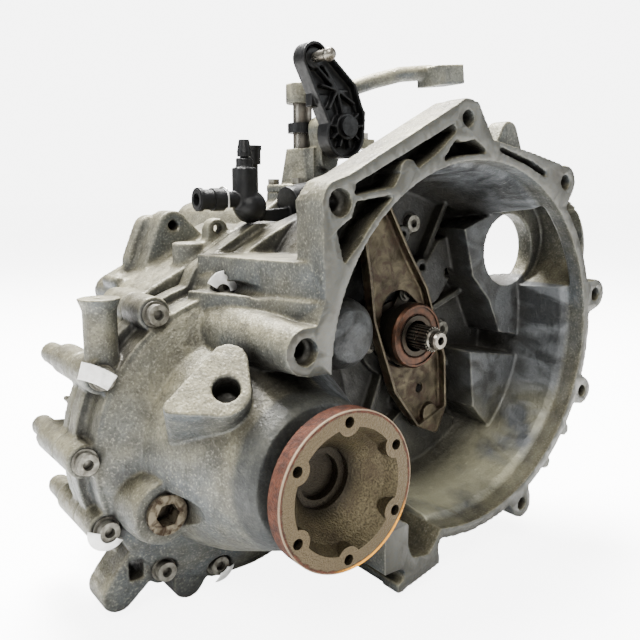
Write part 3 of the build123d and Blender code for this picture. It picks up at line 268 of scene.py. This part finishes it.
def cast_aluminium(name, planes=(), bell=False, tone=1.0):
    """Sand-cast aluminium: grainy skin, cloudy stains, dirt and painted shade in corners, painted shade on
    faces that don't face up, painted highlights on worn edges and bright machined planes.
    """
    s = Surface(name, 0.4, 0.5)
    cloud = s.ramp(s.noise(0.045, 4, distortion=0.7), 0.36, 0.64)
    blotch = s.ramp(s.noise(0.011, 5, distortion=0.5), 0.42, 0.66)
    grain = s.noise(0.0016, 4)
    pores = s.ramp(s.spots(0.0035), 0.0, 0.35, 1, 0)
    light = rgb(*(c * tone for c in CAST_LIGHT[:3]))
    mid = rgb(*(c * tone for c in CAST_MID[:3]))
    colour = s.mix(cloud, mid, light)
    # painted shade: faces that don't face up turn bluish grey, in patches
    side_shade = s.times(s.ramp(s.upward(), -0.1, 0.55, 1, 0), s.ramp(s.noise(0.05, 3), 0.35, 0.6, 0.35, 1))
    colour = s.mix(s.times(side_shade, 0.9), colour, SHADE_AND_SCUFF_GREY)
    colour = s.mix(s.times(blotch, 0.5), colour, CAST_DARK)
    glitter = s.ramp(grain, 0.55, 0.7)
    colour = s.mix(s.times(glitter, 0.4), colour, GLITTER)
    colour = s.mix(s.times(s.ramp(grain, 0.32, 0.46, 1, 0), 0.5), colour, CAST_DARK)
    if bell:
        colour = bell_stains_and_shade(s, colour)
    # dirt and painted shade: corners darken, in patches
    grime_and_shade = s.times(s.hollow(0.014), s.ramp(s.noise(0.009, 4), 0.3, 0.6, 0.6, 1.0))
    colour = s.mix(s.times(grime_and_shade, 0.85), colour, CAST_DIRT_AND_SHADE)
    # wear and painted highlight: sharp edges turn bright, in patches
    worn_and_highlit = s.times(s.edge(), s.ramp(s.noise(0.008, 3), 0.35, 0.55))
    colour = s.mix(s.times(worn_and_highlit, 0.6), colour, GLITTER)
    rough = s.ramp(s.noise(0.006, 3), 0.3, 0.7, 0.42, 0.66)
    flat = 0.0
    for y in planes:
        flat = s.math("MAXIMUM", flat, s.plane(y))
    if planes:
        scuff = s.ramp(s.noise(0.004, 5, (1, 1, 5)), 0.45, 0.7)
        face = s.mix(s.times(scuff, 0.6), FACE, SHADE_AND_SCUFF_GREY)
        stained = s.times(s.ramp(s.noise(0.022, 4, distortion=0.8), 0.56, 0.7), 0.5)
        face = s.mix(stained, face, rgb(0.035, 0.029, 0.02))
        colour = s.mix(flat, colour, face)
        rough = s.mix(flat, rough, rgb(0.42, 0.42, 0.42))
    quiet = s.math("SUBTRACT", 1.0, s.times(flat, 0.85))
    s.bump(s.times(grain, quiet), 0.00035)
    s.bump(s.times(pores, quiet), 0.00018)
    s.bump(s.noise(0.009, 2), 0.0009)
    return s.done(colour, rough)


def machined_steel(name, colour=(0.3, 0.29, 0.27), stain=0.4, rough=0.3):
    """Turned or ground steel with fine tool marks and oil stains."""
    s = Surface(name, 0.9, rough)
    s.soften(0.0004)
    marks = s.noise(0.0009, 3, (0.15, 4, 0.15))
    film = s.ramp(s.noise(0.012, 4, distortion=0.5), 0.4, 0.7)
    base = s.mix(s.times(marks, 0.3), rgb(*colour), rgb(*(c * 0.6 for c in colour)))
    base = s.mix(s.times(film, stain), base, rgb(0.07, 0.05, 0.035))
    # painted shade: hollows darken
    base = s.mix(s.times(s.hollow(0.006), 0.85), base, rgb(0.012, 0.01, 0.008))
    s.bump(marks, 0.00005)
    return s.done(base, s.ramp(film, 0, 1, rough, rough + 0.2))


def bolt_steel():
    """Zinc-plated heads, dulled, with painted shade in the sockets."""
    s = Surface("bolt_steel", 0.75, 0.42)
    s.soften(0.0005)
    dull = s.ramp(s.noise(0.004, 4), 0.35, 0.65)
    base = s.mix(dull, rgb(0.26, 0.25, 0.215), rgb(0.11, 0.103, 0.085))
    # painted shade: the sockets darken
    base = s.mix(s.times(s.hollow(0.004), 0.9), base, rgb(0.012, 0.01, 0.008))
    s.bump(s.noise(0.0012, 3), 0.00012)
    return s.done(base, s.ramp(dull, 0, 1, 0.36, 0.55))


def worn_plug():
    """Steel plug with patchy brown rust and painted shade in its socket."""
    s = Surface("worn_plug", 0.7, 0.45)
    s.soften(0.0006)
    rust = s.ramp(s.noise(0.005, 5, distortion=0.6), 0.42, 0.62)
    base = s.mix(rust, rgb(0.13, 0.11, 0.075), rgb(0.035, 0.022, 0.012))
    # painted shade: the socket darkens
    base = s.mix(s.times(s.hollow(0.006), 0.9), base, rgb(0.012, 0.009, 0.007))
    s.bump(s.noise(0.0016, 3), 0.0003)
    return s.done(base, s.ramp(rust, 0, 1, 0.38, 0.8))


def cast_iron():
    s = Surface("cast_iron", 0.55, 0.6)
    s.soften(0.0008)
    tone = s.ramp(s.noise(0.01, 4), 0.35, 0.65)
    base = s.mix(tone, rgb(0.15, 0.15, 0.16), rgb(0.26, 0.26, 0.27))
    s.bump(s.noise(0.0014, 3), 0.0004)
    return s.done(base, s.ramp(tone, 0, 1, 0.5, 0.7))


def brass():
    s = Surface("brass", 0.95, 0.3)
    s.soften(0.0004)
    tone = s.ramp(s.noise(0.006, 4), 0.35, 0.65)
    base = s.mix(tone, rgb(0.66, 0.45, 0.17), rgb(0.42, 0.26, 0.1))
    s.bump(s.noise(0.0008, 2, (0.2, 3, 0.2)), 0.00006)
    return s.done(base, s.ramp(tone, 0, 1, 0.25, 0.45))


def rubber():
    s = Surface("rubber", 0.0, 0.6)
    dust = s.ramp(s.noise(0.005, 4), 0.5, 0.75)
    base = s.mix(s.times(dust, 0.4), rgb(0.02, 0.019, 0.018), rgb(0.14, 0.12, 0.1))
    s.bump(s.noise(0.0009, 3), 0.0001)
    return s.done(base, s.ramp(dust, 0, 1, 0.5, 0.8))


def black_plastic():
    """Glass-filled nylon with a fine moulded texture and patches of dust."""
    s = Surface("black_plastic", 0.0, 0.42)
    s.shader.inputs["Specular IOR Level"].default_value = 0.25
    fibre = s.noise(0.0011, 4, (1, 1, 3))
    dust = s.times(s.ramp(s.noise(0.007, 4), 0.45, 0.75), 0.3)
    base = s.mix(s.ramp(fibre, 0.3, 0.7), rgb(0.0016, 0.0018, 0.002), rgb(0.004, 0.004, 0.0045))
    base = s.mix(s.times(dust, 0.4), base, rgb(0.03, 0.028, 0.025))
    s.bump(fibre, 0.00012)
    s.bump(s.noise(0.005, 2), 0.00025)
    return s.done(base, s.ramp(s.noise(0.003, 3), 0.35, 0.65, 0.32, 0.52))


def pressed_steel():
    """Release lever: dull sheet steel with rust that gathers in its tray."""
    s = Surface("pressed_steel", 0.6, 0.45)
    s.shader.inputs["Specular IOR Level"].default_value = 0.3
    tone = s.ramp(s.noise(0.014, 4, distortion=0.7), 0.35, 0.65)
    base = s.mix(tone, rgb(0.075, 0.062, 0.038), rgb(0.016, 0.012, 0.006))
    spots = s.ramp(s.noise(0.009, 6, distortion=0.9), 0.5, 0.62)
    base = s.mix(s.times(spots, 0.7), base, rgb(0.026, 0.012, 0.005))
    rust = s.times(s.ramp(s.hollow(0.012), 0.2, 0.8), s.ramp(s.noise(0.006, 4), 0.35, 0.55))
    base = s.mix(s.times(rust, 0.85), base, rgb(0.018, 0.009, 0.005))
    # painted highlight: sharp edges turn bright
    bright = s.times(s.edge(), 0.6)
    base = s.mix(bright, base, rgb(0.25, 0.22, 0.17))
    s.bump(s.noise(0.0016, 4), 0.00022)
    s.bump(s.noise(0.012, 2), 0.0006)
    return s.done(base, s.ramp(spots, 0, 1, 0.4, 0.75), s.ramp(spots, 0, 1, 0.75, 0.15))


def drive_flange():
    """Beige machined face, sandy cup and a rim brown with rust, with painted shade in the cup and a
    painted glint on the lower rim.
    """
    disc_back, cup_mouth, cup_floor = 0.0085, 0.0362, 0.021
    s = Surface("drive_flange", 0.55, 0.45)
    s.shader.inputs["Specular IOR Level"].default_value = 0.25
    r = s.radius(DIFF)
    sand = s.ramp(s.noise(0.0012, 4), 0.3, 0.7)
    cup = s.mix(sand, rgb(0.024, 0.018, 0.009), rgb(0.105, 0.086, 0.048))
    stain = s.ramp(s.noise(0.016, 4, distortion=0.7), 0.46, 0.68)
    cup = s.mix(s.times(stain, 0.6), cup, rgb(0.032, 0.022, 0.013))
    near = s.math("MAXIMUM", s.plane(FLANGE_FACE), s.plane(FAR_FLANGE_FACE))
    turned = s.noise(0.0009, 3)
    face = s.mix(s.ramp(turned, 0.35, 0.65), rgb(0.09, 0.068, 0.037), rgb(0.055, 0.04, 0.021))
    base = s.mix(near, cup, face)
    flake = s.ramp(s.noise(0.007, 6, distortion=0.8), 0.36, 0.6)
    rust = s.mix(flake, rgb(0.03, 0.0085, 0.004), rgb(0.072, 0.021, 0.009))
    pits = s.ramp(s.noise(0.0022, 5), 0.52, 0.64)
    rust = s.mix(s.times(pits, 0.6), rust, rgb(0.016, 0.008, 0.005))
    bare = s.ramp(s.noise(0.011, 4, (1, 1, 0.6)), 0.6, 0.7)
    rust = s.mix(s.times(bare, 0.4), rust, rgb(0.07, 0.04, 0.024))
    ragged = s.math("ADD", r, s.ramp(s.noise(0.006, 4), 0.3, 0.7, -0.0006, 0.0006))
    rim = s.ramp(ragged, FLANGE_R - 0.0026, FLANGE_R - 0.0016)
    depth = s.math("MINIMUM", s.math("ABSOLUTE", s.math("SUBTRACT", s.along("Y"), FLANGE_FACE)),
                   s.math("ABSOLUTE", s.math("SUBTRACT", s.along("Y"), FAR_FLANGE_FACE)))
    behind = s.times(s.ramp(depth, disc_back, disc_back + 0.001),
                     s.ramp(r, cup_mouth, cup_mouth + 0.0008))
    rusty = s.math("MAXIMUM", rim, behind)
    base = s.mix(rusty, base, rust)
    lip = s.times(s.ramp(depth, 0.0009, 0.0017, 1, 0), s.ramp(r, FLANGE_R - 0.0009, FLANGE_R - 0.0004))
    base = s.mix(s.times(lip, 0.6), base, rgb(0.3, 0.24, 0.16))
    # painted glint: an orange reflection on the lower part of the rim's front edge
    amber_glint = s.times(s.ramp(depth, 0.0012, 0.003, 1, 0), s.ramp(r, FLANGE_R - 0.0022, FLANGE_R - 0.0014),
                    s.ramp(s.along("Z"), DIFF[1] - 0.03, DIFF[1] - 0.015, 1, 0),
                    s.ramp(s.along("X"), DIFF[0] - 0.012, DIFF[0] + 0.004))
    base = s.mix(amber_glint, base, rgb(0.7, 0.3, 0.015))
    # painted shade: the floor of the cup darkens towards the middle
    floor_shade = s.times(s.ramp(r, cup_floor, cup_floor + 0.006, 1, 0), 0.85)
    base = s.mix(floor_shade, base, rgb(0.014, 0.011, 0.007))
    # painted shade: hollows darken
    base = s.mix(s.times(s.hollow(0.014), 0.75), base, rgb(0.012, 0.009, 0.006))
    s.bump(sand, 0.00025)
    s.bump(s.times(s.noise(0.003, 5), rusty), 0.0009)
    metal = s.ramp(rusty, 0, 1, 0.6, 0.08)
    return s.done(base, s.ramp(rusty, 0, 1, 0.4, 0.75), metal)


def release_bearing():
    """Steel body with a copper-brown thrust ring."""
    s = Surface("release_bearing", 0.8, 0.35)
    s.soften(0.0004)
    front = s.ramp(s.along("Y"), 0.0636, 0.065, 1, 0)
    marks = s.noise(0.0008, 3, (0.3, 4, 0.3))
    steel = s.mix(marks, rgb(0.014, 0.012, 0.009), rgb(0.045, 0.04, 0.032))
    copper = s.mix(s.ramp(s.noise(0.004, 5), 0.35, 0.65), rgb(0.07, 0.03, 0.016), rgb(0.028, 0.016, 0.01))
    base = s.mix(front, steel, copper)
    # painted shade: hollows darken
    base = s.mix(s.times(s.hollow(0.005), 0.9), base, rgb(0.008, 0.007, 0.006))
    s.bump(marks, 0.00006)
    return s.done(base, s.ramp(marks, 0.3, 0.7, 0.28, 0.45))


def blank_paper():
    s = Surface("blank_paper", 0.0, 0.65)
    fibre = s.noise(0.0006, 4)
    soiled = s.ramp(s.noise(0.006, 4, distortion=0.5), 0.5, 0.72)
    base = s.mix(s.times(soiled, 0.45), rgb(0.9, 0.9, 0.88), rgb(0.5, 0.48, 0.43))
    s.bump(fibre, 0.00008)
    s.bump(s.noise(0.004, 3), 0.0005)
    return s.done(base, s.ramp(fibre, 0.3, 0.7, 0.55, 0.75))


def bright_zinc():
    s = Surface("bright_zinc", 0.9, 0.25)
    tone = s.ramp(s.noise(0.005, 4), 0.35, 0.65)
    base = s.mix(tone, rgb(0.72, 0.71, 0.69), rgb(0.5, 0.49, 0.46))
    s.bump(s.noise(0.001, 3), 0.00006)
    return s.done(base, s.ramp(tone, 0, 1, 0.2, 0.42))


def studio_floor():
    """Pale floor that looks evenly white and lights the object no more than plain paint."""
    s = Surface("studio_floor", 0.0, 0.85)
    seen = s.nodes.new("ShaderNodeLightPath").outputs["Is Camera Ray"]
    s.shader.inputs["Emission Color"].default_value = rgb(1.0, 1.0, 1.0)
    s.links.new(s.times(seen, FLOOR_GLOW), s.shader.inputs["Emission Strength"])
    base = s.mix(s.noise(0.4, 3), rgb(0.86, 0.86, 0.86), rgb(0.9, 0.9, 0.9))
    return s.done(base)


def coat(obj, material):
    obj.data.materials.clear()
    obj.data.materials.append(material)


# ---- rounded copies of CAD castings ------------------------------------------------------------
def link(name, mesh):
    obj = bpy.data.objects.new(name, mesh)
    bpy.context.scene.collection.objects.link(obj)
    return obj


def put_on(piece, body, material):
    """Material and body of a finished piece."""
    piece.data.shade_smooth()
    coat(piece, material)
    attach(piece, body)


def applied(obj):
    """Puts the result of the modifiers into the mesh and removes them."""
    graph = bpy.context.evaluated_depsgraph_get()
    mesh = bpy.data.meshes.new_from_object(obj.evaluated_get(graph))
    obj.modifiers.clear()
    obj.data = mesh


def settle(mesh, node, planes, reach):
    """Puts the smoothed mesh back onto its machined planes and into the CAD piece's box."""
    places = np.empty(3 * len(mesh.vertices), np.float32)
    normals = np.empty_like(places)
    mesh.vertices.foreach_get("co", places)
    mesh.vertices.foreach_get("normal", normals)
    places = places.reshape(-1, 3)
    facing = np.abs(normals.reshape(-1, 3)[:, 1]) > 0.75
    for y in planes:
        places[facing & (np.abs(places[:, 1] - y) < reach), 1] = y
    low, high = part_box(node)
    mesh.vertices.foreach_set("co", np.clip(places, low, high).astype(np.float32).ravel())
    mesh.update()


def rounded(node, body, material, voxel, rounds, planes=()):
    """Stand-in for a CAD node with its edges and corners rounded as a casting's are."""
    piece = link(f"{node}_skin", NODES[node].data.copy())
    remesh = piece.modifiers.new("remesh", "REMESH")
    remesh.mode = "VOXEL"
    remesh.voxel_size = voxel
    applied(piece)
    smooth = piece.modifiers.new("smooth", "SMOOTH")
    smooth.factor = 0.5
    smooth.iterations = rounds
    applied(piece)
    settle(piece.data, node, planes, voxel * 0.75)
    count = 2 * len(piece.data.polygons)
    if count > TRIANGLE_LIMIT:
        thin = piece.modifiers.new("thin", "DECIMATE")
        thin.ratio = TRIANGLE_LIMIT / count
        applied(piece)
    settle(piece.data, node, (), 0.0)
    put_on(piece, body, material)
    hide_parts(node)


def make_castings():
    """Rounded stand-ins, each with its body, material, voxel size and rounds of smoothing."""
    case = cast_aluminium("case_aluminium", planes=(ENGINE_FACE,), bell=True)
    rear = cast_aluminium("rear_aluminium")
    clean = cast_aluminium("clean_aluminium", tone=2.0)
    rounded("clutch_housing", "housing", case, 0.0012, 3, (ENGINE_FACE,))
    rounded("gearbox_housing", "housing", rear, 0.0019, 2)
    rounded("end_cover", "housing", rear, 0.0018, 2)
    rounded("shift_cover", "housing", clean, 0.001, 3)
    rounded("counterweight_lever", "selector", clean, 0.001, 5)
    rounded("release_lever", "release_lever", pressed_steel(), 0.0008, 4)
    plastic = black_plastic()
    rounded("relay_lever", "relay_lever", plastic, 0.0006, 3)
    rounded("slave_cylinder_body", "housing", plastic, 0.0008, 4)
    return plastic


# ---- trim that the CAD leaves out ---------------------------------------------------------------
# Paper seals: name, bolt (x, z), hub from the bolt (x, z), radius, start and end angle, width, slope.
SEALS = (("paper_seal_left", (-0.245, -0.004), (-0.0347, -0.0487), 0.06, 72, 50, 0.011, 0.1),
         ("paper_seal_top", (-0.155, 0.049), (-0.004, -0.004), 0.0105, 150, 5, 0.0095, -0.25),
         ("paper_seal_low", (-0.247, -0.107), (-0.001, 0.0), 0.0095, 165, 320, 0.007, 0.7),
         ("paper_seal_bottom", (-0.166, -0.157), (0.0, 0.0), 0.009, 255, 345, 0.009, 0.7))


def line_clip(material):
    """Spring wire that holds the line connector of the slave cylinder."""
    low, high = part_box("slave_fittings")
    x, y, z = low.x + 0.0215, high.y - 0.0084, low.z + 0.0084
    around = ((-0.0085, -0.006), (-0.0092, 0.0), (-0.007, 0.007), (0.0, 0.0096),
              (0.007, 0.007), (0.0092, 0.0), (0.0085, -0.006))
    curve = bpy.data.curves.new("line_clip", "CURVE")
    curve.dimensions = "3D"
    curve.bevel_depth = 0.0007
    curve.bevel_resolution = 4
    curve.resolution_u = 8
    curve.use_fill_caps = True
    spline = curve.splines.new("NURBS")
    spline.points.add(len(around) - 1)
    for point, (dy, dz) in zip(spline.points, around):
        point.co = (x, y + dy, z + dz, 1)
    spline.use_endpoint_u = True
    spline.order_u = 3
    shape = link("line_clip_curve", curve)
    graph = bpy.context.evaluated_depsgraph_get()
    piece = link("line_clip", bpy.data.meshes.new_from_object(shape.evaluated_get(graph)))
    bpy.data.objects.remove(shape)
    put_on(piece, "housing", material)


def paper_seal(name, head, hub, radius, start, end, width, slope, material):
    """Blank paper strip over a bolt head: an arc round the hub (x, z) that slopes back past the head."""
    rows, columns = 30, 12
    lift, lowest = 0.0012, 0.005
    creases_per_metre, crease_height = 260, 0.0005
    mesh = bmesh.new()
    grid = []
    for i in range(rows + 1):
        angle = math.radians(start + (end - start) * i / rows)
        line = []
        for j in range(columns + 1):
            reach = radius + (j / columns - 0.5) * width
            x, z = hub[0] + reach * math.cos(angle), hub[1] + reach * math.sin(angle)
            beyond = max(0.0, math.hypot(x - head.x, z - head.z) - HEAD_R)
            crease = value_noise.noise(Vector((x, 0, z)) * creases_per_metre) * crease_height
            y = HEAD_FRONT - lift + crease + min(slope * beyond, lowest)
            line.append(mesh.verts.new((x, y, z)))
        grid.append(line)
    for i in range(rows):
        for j in range(columns):
            mesh.faces.new((grid[i][j], grid[i + 1][j], grid[i + 1][j + 1], grid[i][j + 1]))
    data = bpy.data.meshes.new(name)
    mesh.to_mesh(data)
    mesh.free()
    piece = link(name, data)
    skin = piece.modifiers.new("thickness", "SOLIDIFY")
    skin.thickness = 0.0002
    applied(piece)
    put_on(piece, "housing", material)


def bolt_heads():
    """Middle of the front of each case bolt's head."""
    front_depth, head_gap = 0.0003, 0.016
    mesh = NODES["case_bolts"].data
    found = []
    for vertex in mesh.vertices:
        if vertex.co.y < HEAD_FRONT + front_depth:
            for group in found:
                if (group[0] - vertex.co).length < head_gap:
                    group.append(vertex.co.copy())
                    break
            else:
                found.append([vertex.co.copy()])
    return [sum(group, Vector()) / len(group) for group in found]


def make_trim():
    paper = blank_paper()
    heads = bolt_heads()
    for name, (x, z), (dx, dz), radius, start, end, width, slope in SEALS:
        head = min(heads, key=lambda c: (c.x - x) ** 2 + (c.z - z) ** 2)
        paper_seal(name, head, (head.x + dx, head.z + dz), radius, start, end, width, slope, paper)
    line_clip(bright_zinc())


# ---- materials of the CAD nodes that show as they are --------------------------------------------
def coat_cad_nodes(plastic):
    steel = machined_steel("machined_steel")
    gear_steel = machined_steel("gear_steel", (0.2, 0.195, 0.185), 0.3, 0.34)
    shaft_steel = machined_steel("shaft_steel", (0.22, 0.205, 0.175), 0.6, 0.27)
    dark_steel = machined_steel("dark_steel", (0.03, 0.026, 0.02), 0.6, 0.4)
    bolts = bolt_steel()
    iron = cast_iron()
    looks = {
        shaft_steel: ("input_shaft", "selector_shaft", "relay_ball_pin", "selector_ball_pin",
                      "release_ball_stud"),
        gear_steel: ("output_shaft", "driven_gears_3_4_5", "first_gear", "second_gear", "third_gear",
                     "fourth_gear", "fifth_gear", "sleeve_1_2", "sleeve_3_4", "sleeve_5", "hub_1_2",
                     "hubs_3_4_and_5", "reverse_idler_gear", "ring_gear", "left_side_gear",
                     "right_side_gear", "bevel_pinion_a", "bevel_pinion_b"),
        steel: ("shaft_bearings", "differential_bearings", "input_bearing_inner_rings",
                "output_bearing_inner_rings", "differential_inner_rings", "reverse_idler_shaft",
                "reverse_shift_rod", "cross_pin", "slave_cylinder_piston"),
        dark_steel: ("guide_sleeve",),
        bolts: ("case_bolts", "m6_bolts", "ring_gear_bolts"),
        iron: ("differential_case", "fork_1_2", "fork_3_4", "fork_5"),
        brass(): ("synchro_rings_1_2", "synchro_rings_3_4_5"),
        worn_plug(): ("filler_plug",),
        rubber(): ("flange_seals",),
        drive_flange(): ("left_drive_flange", "right_drive_flange"),
        release_bearing(): ("release_bearing",),
        plastic: ("slave_fittings", "breather", "select_shoe", "relay_lever_pin"),
    }
    for material, names in looks.items():
        for name in names:
            coat(NODES[name], material)


# ---- studio -------------------------------------------------------------------------------------
def area_light(name, place, target, size, power, colour):
    data = bpy.data.lights.new(name, "AREA")
    data.shape = "DISK"
    data.size = size
    data.energy = power
    data.color = colour
    lamp = bpy.data.objects.new(name, data)
    bpy.context.scene.collection.objects.link(lamp)
    lamp.location = place
    lamp.rotation_mode = "QUATERNION"
    lamp.rotation_quaternion = (Vector(target) - Vector(place)).to_track_quat("-Z", "Y")


def make_studio():
    low, high = CAD_BOX
    mesh = bpy.data.meshes.new("floor")
    reach = 30.0
    corners = [(-reach, -reach), (reach, -reach), (reach, reach), (-reach, reach)]
    mesh.from_pydata([(x, y, low.z) for x, y in corners], [], [(0, 1, 2, 3)])
    floor = link("floor", mesh)
    coat(floor, studio_floor())

    middle = (low + high) / 2
    for name, offset, size, power, colour in (
            ("key", (-0.9, -1.1, 1.3), 0.8, 40, (1.0, 0.985, 0.95)),
            ("fill", (1.2, -1.2, 0.5), 1.0, 10, (0.93, 0.97, 1.0)),
            ("top", (0.1, 0.5, 1.6), 1.0, 290, (1.0, 0.99, 0.97)),
            ("left", (-1.5, 0.4, 0.6), 0.8, 12, (0.95, 0.98, 1.0))):
        area_light(name, middle + Vector(offset), middle, size, power, colour)

    world = bpy.data.worlds.new("studio")
    world.use_nodes = True
    background = world.node_tree.nodes["Background"]
    background.inputs["Color"].default_value = rgb(1.0, 1.0, 1.0)
    seen = world.node_tree.nodes.new("ShaderNodeLightPath").outputs["Is Camera Ray"]
    strength = world.node_tree.nodes.new("ShaderNodeMapRange")
    strength.inputs["To Min"].default_value = WORLD_LIGHT
    strength.inputs["To Max"].default_value = BACKGROUND_GLOW
    world.node_tree.links.new(seen, strength.inputs["Value"])
    world.node_tree.links.new(strength.outputs["Result"], background.inputs["Strength"])
    bpy.context.scene.world = world


def make_camera():
    """The view that shows the engine side from its left, slightly from above."""
    azimuth, elevation = math.radians(-37.16), math.radians(9.8)
    data = bpy.data.cameras.new("camera")
    data.lens = 40.0
    data.sensor_width = 36.0
    data.clip_start, data.clip_end = 0.01, 100
    camera = bpy.data.objects.new("camera", data)
    bpy.context.scene.collection.objects.link(camera)
    camera.location = (-0.4002, -0.33705, 0.1097)
    camera.rotation_euler = (math.pi / 2 - elevation, 0, azimuth)
    bpy.context.scene.camera = camera


plastic = make_castings()
coat_cad_nodes(plastic)
make_trim()
make_studio()
make_camera()
